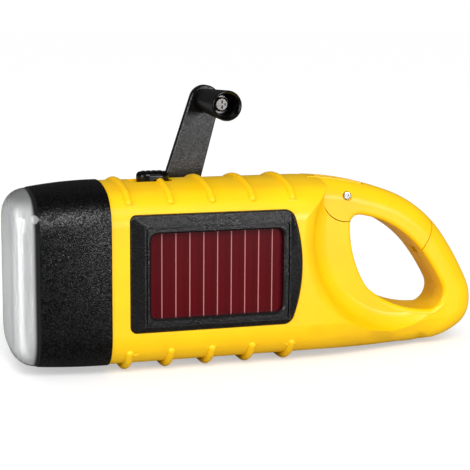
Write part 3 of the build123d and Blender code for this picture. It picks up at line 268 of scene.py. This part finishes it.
def handling_group():
    """Handling marks: broad changes of gloss and a few fine scuffs."""
    group, inlet, outlet = new_group(
        "Handling marks",
        [("Vector", "NodeSocketVector", None), ("Gloss", "NodeSocketFloat", 0.3),
         ("Spread", "NodeSocketFloat", 0.06), ("Scuffs", "NodeSocketFloat", 0.1)],
        [("Roughness", "NodeSocketFloat"), ("Marks", "NodeSocketFloat"), ("Clouds", "NodeSocketFloat")])
    broad = noise(group, inlet.outputs["Vector"], 60.0, 3.0, 0.6)
    stretch = add(group, "ShaderNodeMapping")
    stretch.inputs["Scale"].default_value = (90.0, 500.0, 900.0)
    stretch.inputs["Rotation"].default_value = (0.2, 0.5, 0.3)
    group.links.new(inlet.outputs["Vector"], stretch.inputs["Vector"])
    streak = noise(group, stretch.outputs["Vector"], 1.0, 4.0, 0.7)
    marks = band(group, streak, 0.66, 0.78, smooth=True)
    swing = maths(group, "MULTIPLY", maths(group, "SUBTRACT", broad, 0.5), inlet.outputs["Spread"])
    rough = maths(group, "ADD", inlet.outputs["Gloss"], maths(group, "MULTIPLY", swing, 2.0))
    worn = maths(group, "MULTIPLY", marks, inlet.outputs["Scuffs"])
    group.links.new(maths(group, "ADD", rough, worn, clamp=True), outlet.inputs["Roughness"])
    group.links.new(worn, outlet.inputs["Marks"])
    group.links.new(broad, outlet.inputs["Clouds"])
    return group


def strip_group():
    """Lines across the torch at an even pitch, as on the solar cell."""
    group, inlet, outlet = new_group(
        "Cell strips",
        [("Vector", "NodeSocketVector", None), ("First", "NodeSocketFloat", 0.0),
         ("Pitch", "NodeSocketFloat", 0.004), ("Width", "NodeSocketFloat", 0.0003)],
        [("Line", "NodeSocketFloat"), ("Across", "NodeSocketFloat")])
    parts = add(group, "ShaderNodeSeparateXYZ")
    group.links.new(inlet.outputs["Vector"], parts.inputs[0])
    along = maths(group, "SUBTRACT", parts.outputs["X"], inlet.outputs["First"])
    turns = maths(group, "DIVIDE", along, inlet.outputs["Pitch"])
    across = maths(group, "FRACT", maths(group, "ADD", turns, 0.5))
    off = maths(group, "ABSOLUTE", maths(group, "SUBTRACT", across, 0.5))
    distance = maths(group, "MULTIPLY", off, inlet.outputs["Pitch"])
    half = maths(group, "MULTIPLY", inlet.outputs["Width"], 0.5)
    edge = maths(group, "MULTIPLY", inlet.outputs["Width"], 0.9)
    group.links.new(band(group, distance, half, edge, 1.0, 0.0, smooth=True), outlet.inputs["Line"])
    group.links.new(across, outlet.inputs["Across"])
    return group


def crown_group():
    """Slight bulge of a tall face: the height falls away above and below its middle."""
    group, inlet, outlet = new_group(
        "Crowned face",
        [("Vector", "NodeSocketVector", None), ("Middle", "NodeSocketFloat", HEAD_MIDDLE_Z),
         ("Bulge", "NodeSocketFloat", 1.6)],
        [("Height", "NodeSocketFloat")])
    parts = add(group, "ShaderNodeSeparateXYZ")
    group.links.new(inlet.outputs["Vector"], parts.inputs[0])
    off = maths(group, "SUBTRACT", parts.outputs["Z"], inlet.outputs["Middle"])
    fall = maths(group, "MULTIPLY", maths(group, "MULTIPLY", off, off), inlet.outputs["Bulge"])
    group.links.new(maths(group, "MULTIPLY", fall, -1.0), outlet.inputs["Height"])
    return group


def rim_group():
    """Where a clear cap is backed by its dark seat: next to the bezel, top and bottom."""
    group, inlet, outlet = new_group(
        "Dark seat",
        [("Vector", "NodeSocketVector", None), ("Edge", "NodeSocketFloat", CAP_BACK_X),
         ("Middle", "NodeSocketFloat", CAP_MIDDLE_Z), ("Reach", "NodeSocketFloat", CAP_SEAT_REACH)],
        [("Rim", "NodeSocketFloat")])
    parts = add(group, "ShaderNodeSeparateXYZ")
    group.links.new(inlet.outputs["Vector"], parts.inputs[0])
    behind = band(group, maths(group, "SUBTRACT", parts.outputs["X"], inlet.outputs["Edge"]),
                  -0.001, 0.0007, smooth=True)
    height = maths(group, "SUBTRACT", parts.outputs["Z"], inlet.outputs["Middle"])
    off = maths(group, "ABSOLUTE", height)
    above = band(group, maths(group, "SUBTRACT", off, inlet.outputs["Reach"]),
                 -0.002, 0.004, 0.0, 0.75, smooth=True)
    group.links.new(maths(group, "MAXIMUM", behind, above), outlet.inputs["Rim"])
    return group


MAKERS = {"grain": grain_group, "handling": handling_group, "strips": strip_group,
          "crown": crown_group, "rim": rim_group}
EFFECTS = {}


def effect(tree, name, **values):
    """Places a shared effect in a material, fed with Object coordinates; its group is made once."""
    if name not in EFFECTS:
        EFFECTS[name] = MAKERS[name]()
    node = add(tree, "ShaderNodeGroup")
    node.node_tree = EFFECTS[name]
    place = add(tree, "ShaderNodeTexCoord")
    tree.links.new(place.outputs["Object"], node.inputs["Vector"])
    for label, value in values.items():
        node.inputs[label].default_value = value
    return node


# ------------------------------------------------------------------ materials
def new_material(name, **values):
    """A material with its Principled shader; values are set on the shader's own sockets."""
    material = bpy.data.materials.new(name)
    material.use_nodes = True
    shader = material.node_tree.nodes["Principled BSDF"]
    for label, value in values.items():
        shader.inputs[label.replace("_", " ")].default_value = value
    return material, material.node_tree, shader


def bump(tree, target, height, strength, distance):
    """Feeds a height to the Normal of a shader or of another bump; returns the bump."""
    node = add(tree, "ShaderNodeBump")
    node.inputs["Strength"].default_value = strength
    node.inputs["Distance"].default_value = distance
    tree.links.new(height, node.inputs["Height"])
    tree.links.new(node.outputs["Normal"], target.inputs["Normal"])
    return node


def yellow_plastic(colours):
    """Satin yellow moulding with faint flow marks and a very light orange peel."""
    material, tree, shader = new_material(
        "yellow_body", IOR=1.5, Specular_IOR_Level=0.3, Coat_Roughness=0.25, Coat_Weight=0.12)
    marks = effect(tree, "handling", Gloss=0.34, Spread=0.04, Scuffs=0.08)
    cloud = band(tree, marks.outputs["Clouds"], 0.3, 0.75)
    tree.links.new(blend_colours(tree, cloud, colours.yellow, colours.yellow_deep),
                   shader.inputs["Base Color"])
    tree.links.new(marks.outputs["Roughness"], shader.inputs["Roughness"])
    peel = effect(tree, "grain", Pitch=0.5 * MM)
    bump(tree, shader, peel.outputs["Height"], 0.12, 0.02 * MM)
    return material


def grained_black(name, colour, finish, gloss, depth_share=1.0, bulge=0.0):
    """Black moulding with a sharp fine grain that breaks up its highlights, crowned if asked."""
    material, tree, shader = new_material(name, IOR=1.5)
    marks = effect(tree, "handling", Gloss=gloss, Spread=0.05, Scuffs=0.1)
    grain = effect(tree, "grain", Pitch=finish.grain_size)
    ground = blend_colours(tree, grain.outputs["Pits"], scaled(colour, 1.5), colour)
    tree.links.new(ground, shader.inputs["Base Color"])
    tree.links.new(marks.outputs["Roughness"], shader.inputs["Roughness"])
    facets = maths(tree, "MULTIPLY", grain.outputs["Sparkle"], GLINT_FACETS * depth_share)
    glint = maths(tree, "ADD", facets, GLINT_LEAST + GLINT_IF_SMOOTH * (1.0 - depth_share))
    tree.links.new(glint, shader.inputs["Specular IOR Level"])
    fine = bump(tree, shader, grain.outputs["Height"], 1.0, finish.grain_depth * depth_share)
    if bulge:
        crown = effect(tree, "crown", Bulge=bulge)
        bump(tree, fine, crown.outputs["Height"], 1.0, 1.0)
    return material


def gloss_black(colours):
    """Smooth black moulding of the knob and the slider."""
    material, tree, shader = new_material("black_gloss", IOR=1.5, Specular_IOR_Level=0.35)
    marks = effect(tree, "handling", Gloss=0.24, Spread=0.05, Scuffs=0.15)
    worn = blend_colours(tree, marks.outputs["Marks"], colours.black, SCUFFED_BLACK)
    tree.links.new(worn, shader.inputs["Base Color"])
    tree.links.new(marks.outputs["Roughness"], shader.inputs["Roughness"])
    return material


def cell_glass(colours, finish):
    """Dark red cell under a clear layer, with fine pale lines between its strips."""
    material, tree, shader = new_material("solar_glass", IOR=1.5, Specular_IOR_Level=0.1)
    strips = effect(tree, "strips", First=finish.first_line, Pitch=finish.strip_pitch,
                    Width=finish.line_width)
    marks = effect(tree, "handling", Gloss=0.3, Spread=0.05, Scuffs=0.05)
    shade = blend_colours(tree, band(tree, strips.outputs["Across"], 0.1, 0.9), colours.cell_red,
                          scaled(colours.cell_red, 1.2))
    tree.links.new(blend_colours(tree, strips.outputs["Line"], shade, colours.cell_line),
                   shader.inputs["Base Color"])
    tree.links.new(marks.outputs["Roughness"], shader.inputs["Roughness"])
    return material


def clear_plastic():
    """Polished clear cap of the head."""
    material, tree, shader = new_material("clear_lens", IOR=1.49)
    rim = effect(tree, "rim")
    tree.links.new(blend_colours(tree, rim.outputs["Rim"], CLEAR, SMOKED), shader.inputs["Base Color"])
    taken = maths(tree, "MULTIPLY", rim.outputs["Rim"], -CAP_SEAT_TAKES)
    tree.links.new(maths(tree, "ADD", taken, CAP_PASSES), shader.inputs["Transmission Weight"])
    marks = effect(tree, "handling", Gloss=0.06, Spread=0.01, Scuffs=0.05)
    tree.links.new(marks.outputs["Roughness"], shader.inputs["Roughness"])
    return material


def plating_with_painted_glow():
    """Vacuum plated reflector with a slight orange peel and a painted glow: a faint white light of its
    own, though it is no lamp.
    """
    # painted glow: a white emission of strength 1.3 makes the reflector shine as if it were lit
    material, tree, shader = new_material(
        "bright_reflector", Metallic=1.0, Base_Color=(0.92, 0.92, 0.92, 1.0),
        Emission_Color=WHITE, Emission_Strength=1.3)
    marks = effect(tree, "handling", Gloss=0.13, Spread=0.04, Scuffs=0.05)
    tree.links.new(marks.outputs["Roughness"], shader.inputs["Roughness"])
    peel = effect(tree, "grain", Pitch=1.2 * MM)
    bump(tree, shader, peel.outputs["Height"], 0.2, 0.03 * MM)
    return material


def lit_lamp(colours, finish):
    """Epoxy of a lamp that is on, its light a little warmer in broad patches."""
    material, tree, shader = new_material(
        "led_lens", IOR=1.5, Roughness=0.1, Emission_Strength=finish.lamp_strength,
        Base_Color=(0.9, 0.9, 0.88, 1.0))
    marks = effect(tree, "handling", Gloss=0.1, Spread=0.02, Scuffs=0.0)
    warm = tuple(channel * share for channel, share in zip(colours.lamp, WARM_SHARE)) + (1.0,)
    tree.links.new(blend_colours(tree, marks.outputs["Clouds"], colours.lamp, warm),
                   shader.inputs["Emission Color"])
    return material


def metal(name, colour, gloss, wear=0.15):
    """Turned or plated metal with handling marks."""
    material, tree, shader = new_material(name, Metallic=1.0)
    marks = effect(tree, "handling", Gloss=gloss, Spread=0.07, Scuffs=wear)
    tone = blend_colours(tree, marks.outputs["Clouds"], colour, scaled(colour, 0.8))
    tree.links.new(tone, shader.inputs["Base Color"])
    tree.links.new(marks.outputs["Roughness"], shader.inputs["Roughness"])
    return material


def plain_plastic(name, colour, gloss):
    """Inner moulding or rubber with a soft grain."""
    material, tree, shader = new_material(name, IOR=1.5)
    marks = effect(tree, "handling", Gloss=gloss, Spread=0.06, Scuffs=0.1)
    tone = blend_colours(tree, marks.outputs["Clouds"], colour, scaled(colour, 0.88))
    tree.links.new(tone, shader.inputs["Base Color"])
    tree.links.new(marks.outputs["Roughness"], shader.inputs["Roughness"])
    soft = effect(tree, "grain", Pitch=0.6 * MM)
    bump(tree, shader, soft.outputs["Height"], 0.4, 0.02 * MM)
    return material


def circuit_lacquer():
    """Green board with paler tracks under the lacquer."""
    material, tree, shader = new_material("circuit_board", IOR=1.5, Coat_Weight=0.4, Coat_Roughness=0.2)
    tracks = effect(tree, "strips", First=0.0, Pitch=2.2 * MM, Width=0.7 * MM)
    marks = effect(tree, "handling", Gloss=0.35, Spread=0.05, Scuffs=0.05)
    tree.links.new(blend_colours(tree, tracks.outputs["Line"], BOARD_GREEN, TRACK_GREEN),
                   shader.inputs["Base Color"])
    tree.links.new(marks.outputs["Roughness"], shader.inputs["Roughness"])
    return material


def copper_winding():
    """Enamelled wire, wound in fine turns."""
    material, tree, shader = new_material("copper_winding", Metallic=0.6)
    turns = effect(tree, "strips", First=0.0, Pitch=0.3 * MM, Width=0.1 * MM)
    marks = effect(tree, "handling", Gloss=0.3, Spread=0.05, Scuffs=0.0)
    tree.links.new(blend_colours(tree, turns.outputs["Line"], COPPER, COPPER_GAP),
                   shader.inputs["Base Color"])
    tree.links.new(marks.outputs["Roughness"], shader.inputs["Roughness"])
    return material


def dress(names, material):
    """Gives CAD nodes a material by assigning their material slots."""
    for name in names:
        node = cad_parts[name]
        for slot in node.material_slots:
            slot.material = material


# ------------------------------------------------------------------ operators
class TORCH_OT_housing(bpy.types.Operator):
    """Finish the yellow halves and the gate."""
    bl_idname = "torch.housing"
    bl_label = "Housing and gate"

    def execute(self, context):
        dress(YELLOW_MOULDINGS, yellow_plastic(context.scene.torch_colours))
        return {"FINISHED"}


class TORCH_OT_head(bpy.types.Operator):
    """Finish the head, its clear cap, the reflector and the lit lamps."""
    bl_idname = "torch.head"
    bl_label = "Head"

    def execute(self, context):
        colours, finish = context.scene.torch_colours, context.scene.torch_finish
        dress(("head_bezel",), grained_black("black_head", colours.black, finish, 0.3, 1.0, 3.0))
        dress(("lens",), clear_plastic())
        # the reflector's material carries a painted glow, a white emission of its own
        dress(("reflector",), plating_with_painted_glow())
        dress(("leds",), lit_lamp(colours, finish))
        dress(("lens_seal",), plain_plastic("seal_rubber", (0.02, 0.02, 0.02, 1.0), 0.7))
        return {"FINISHED"}


class TORCH_OT_solar(bpy.types.Operator):
    """Finish the solar frame and its cell."""
    bl_idname = "torch.solar"
    bl_label = "Solar panel"

    def execute(self, context):
        colours, finish = context.scene.torch_colours, context.scene.torch_finish
        dress(("solar_frame",), grained_black("black_frame", colours.frame_black, finish, 0.28, 0.6))
        dress(("solar_cell",), cell_glass(colours, finish))
        return {"FINISHED"}


class TORCH_OT_crank(bpy.types.Operator):
    """Finish the hub, the arm and the knob."""
    bl_idname = "torch.crank"
    bl_label = "Crank"

    def execute(self, context):
        colours, finish = context.scene.torch_colours, context.scene.torch_finish
        grained = grained_black("black_crank", colours.black, finish, 0.28, 0.5)
        dress(("crank_arm", "crank_hub"), grained)
        dress(("crank_knob", "switch_slider"), gloss_black(colours))
        return {"FINISHED"}


class TORCH_OT_metalwork(bpy.types.Operator):
    """Finish the pins, screws, springs and brass pieces."""
    bl_idname = "torch.metalwork"
    bl_label = "Metalwork"

    def execute(self, context):
        dress(STEEL_PIECES, metal("steel", (0.62, 0.62, 0.64, 1.0), 0.22))
        dress(KNOB_STEEL, metal("dark_steel", (0.09, 0.087, 0.083, 1.0), 0.26, 0.3))
        dress(SCREWS, metal("screw_steel", (0.55, 0.55, 0.57, 1.0), 0.3, 0.2))
        dress(("gate_spring",), metal("spring_steel", (0.45, 0.45, 0.47, 1.0), 0.28))
        dress(BRASS_PIECES, metal("brass", (0.72, 0.48, 0.16, 1.0), 0.25))
        dress(("stator_can", "battery_cells"), metal("nickel_plate", (0.66, 0.64, 0.6, 1.0), 0.2))
        dress(("switch_body",), metal("tinned_case", (0.5, 0.5, 0.5, 1.0), 0.4))
        dress(("rotor_magnet",), metal("sintered_magnet", (0.1, 0.1, 0.11, 1.0), 0.45))
        return {"FINISHED"}


class TORCH_OT_works(bpy.types.Operator):
    """Finish the gears, the inner mouldings, the boards and the winding."""
    bl_idname = "torch.works"
    bl_label = "Inner works"

    def execute(self, context):
        dress(ACETAL_GEARS, plain_plastic("white_gear", (0.8, 0.78, 0.7, 1.0), 0.35))
        dress(INNER_MOULDINGS, plain_plastic("inner_plastic", (0.6, 0.6, 0.56, 1.0), 0.5))
        dress(BOARDS, circuit_lacquer())
        dress(("stator_coil",), copper_winding())
        return {"FINISHED"}


def soft_light(name, place, aim, size, power):
    """A rectangular soft light that faces a point."""
    data = bpy.data.lights.new(name, "AREA")
    data.shape = "RECTANGLE"
    data.size, data.size_y = size
    data.energy = power
    lamp = bpy.data.objects.new(name, data)
    bpy.context.scene.collection.objects.link(lamp)
    look = (Vector(aim) - Vector(place)).to_track_quat("-Z", "Y")
    lamp.matrix_world = Matrix.Translation(place) @ look.to_matrix().to_4x4()


def sun_light(name, towards, level, width):
    """A broad, even light that comes from a direction."""
    data = bpy.data.lights.new(name, "SUN")
    data.energy = level
    data.angle = width
    lamp = bpy.data.objects.new(name, data)
    bpy.context.scene.collection.objects.link(lamp)
    lamp.matrix_world = Vector(towards).to_track_quat("Z", "Y").to_matrix().to_4x4()


def pale_world(level, gloss_level):
    """Pale room: plain white to the camera and through clear pieces, dimmer in gloss."""
    world = bpy.data.worlds.new("pale_room")
    bpy.context.scene.world = world
    world.use_nodes = True
    tree = world.node_tree
    background = tree.nodes["Background"]
    background.inputs["Color"].default_value = WHITE
    rays = add(tree, "ShaderNodeLightPath")
    lit = band(tree, rays.outputs["Is Glossy Ray"], 0.0, 1.0, level, gloss_level)
    seen = maths(tree, "MAXIMUM", rays.outputs["Is Camera Ray"], rays.outputs["Is Transmission Ray"])
    tree.links.new(maths(tree, "MAXIMUM", seen, lit), background.inputs["Strength"])


def floor_material():
    """Pale floor that looks white, keeps the shadow and is dimmer in gloss."""
    material, tree, shader = new_material(
        "studio_floor", Roughness=0.9, Specular_IOR_Level=0.0, Emission_Color=WHITE)
    rays = add(tree, "ShaderNodeLightPath")
    tree.links.new(blend_colours(tree, rays.outputs["Is Glossy Ray"], FLOOR_TONE, FLOOR_IN_GLOSS),
                   shader.inputs["Base Color"])
    lift = maths(tree, "MULTIPLY", rays.outputs["Is Camera Ray"], FLOOR_LIFT)
    tree.links.new(lift, shader.inputs["Emission Strength"])
    return material


class TORCH_OT_stage(bpy.types.Operator):
    """Set the floor, the soft lights and the camera."""
    bl_idname = "torch.stage"
    bl_label = "Studio"

    def execute(self, context):
        stage = context.scene.torch_stage
        mesh = bpy.data.meshes.new("studio_floor")
        flat = bmesh.new()
        bmesh.ops.create_grid(flat, x_segments=1, y_segments=1, size=stage.floor_span / 2)
        flat.to_mesh(mesh)
        flat.free()
        floor = bpy.data.objects.new("studio_floor", mesh)
        context.scene.collection.objects.link(floor)
        mesh.materials.append(floor_material())
        sun_light("key_light", KEY_FROM, stage.sun_level, stage.sun_width)
        soft_light("fill_light", FILL_PLACE, FILL_AIM, FILL_SIZE, stage.fill_power)
        soft_light("edge_light", EDGE_PLACE, EDGE_AIM, EDGE_SIZE, stage.rim_power)
        pale_world(stage.world_level, stage.gloss_level)
        self.camera(context, stage)
        context.scene.view_settings.view_transform = "Standard"
        return {"FINISHED"}

    def camera(self, context, stage):
        """Stand the camera at the eye, level but for its roll."""
        data = bpy.data.cameras.new("camera")
        data.lens = stage.focal
        data.sensor_width = SENSOR_WIDTH
        data.clip_start, data.clip_end = 0.01, 50.0
        eye, aim = Vector(stage.eye), Vector(stage.aim)
        forward = (aim - eye).normalized()
        right = forward.cross(Vector((0, 0, 1))).normalized()
        up = right.cross(forward)
        cos_roll, sin_roll = math.cos(stage.roll), math.sin(stage.roll)
        rolled_right = right * cos_roll + up * sin_roll
        rolled_up = up * cos_roll - right * sin_roll
        turn = Matrix((rolled_right, rolled_up, -forward)).transposed()
        camera = bpy.data.objects.new("camera", data)
        camera.matrix_world = Matrix.Translation(eye) @ turn.to_4x4()
        context.scene.collection.objects.link(camera)
        context.scene.camera = camera


class TORCH_PT_panel(bpy.types.Panel):
    """The torch's steps in the sidebar."""
    bl_label = "Torch"
    bl_idname = "TORCH_PT_panel"
    bl_space_type = "VIEW_3D"
    bl_region_type = "UI"
    bl_category = "Torch"

    def draw(self, context):
        for operator in STEPS:
            self.layout.operator(operator.bl_idname)


STEPS = (
    TORCH_OT_housing,
    TORCH_OT_head,
    TORCH_OT_solar,
    TORCH_OT_crank,
    TORCH_OT_metalwork,
    TORCH_OT_works,
    TORCH_OT_stage,
)
GROUPS = (("torch_colours", TorchColours), ("torch_finish", TorchFinish), ("torch_stage", TorchStage))


def register():
    """Registers the settings, the steps and the panel."""
    for name, group in GROUPS:
        bpy.utils.register_class(group)
        setattr(bpy.types.Scene, name, bpy.props.PointerProperty(type=group))
    for step in STEPS:
        bpy.utils.register_class(step)
    bpy.utils.register_class(TORCH_PT_panel)


def unregister():
    """Removes them again."""
    bpy.utils.unregister_class(TORCH_PT_panel)
    for step in reversed(STEPS):
        bpy.utils.unregister_class(step)
    for name, group in reversed(GROUPS):
        delattr(bpy.types.Scene, name)
        bpy.utils.unregister_class(group)


def main():
    """Runs every step in order."""
    register()
    for step in STEPS:
        family, label = step.bl_idname.split(".")
        getattr(getattr(bpy.ops, family), label)()


if __name__ == "__main__":
    main()
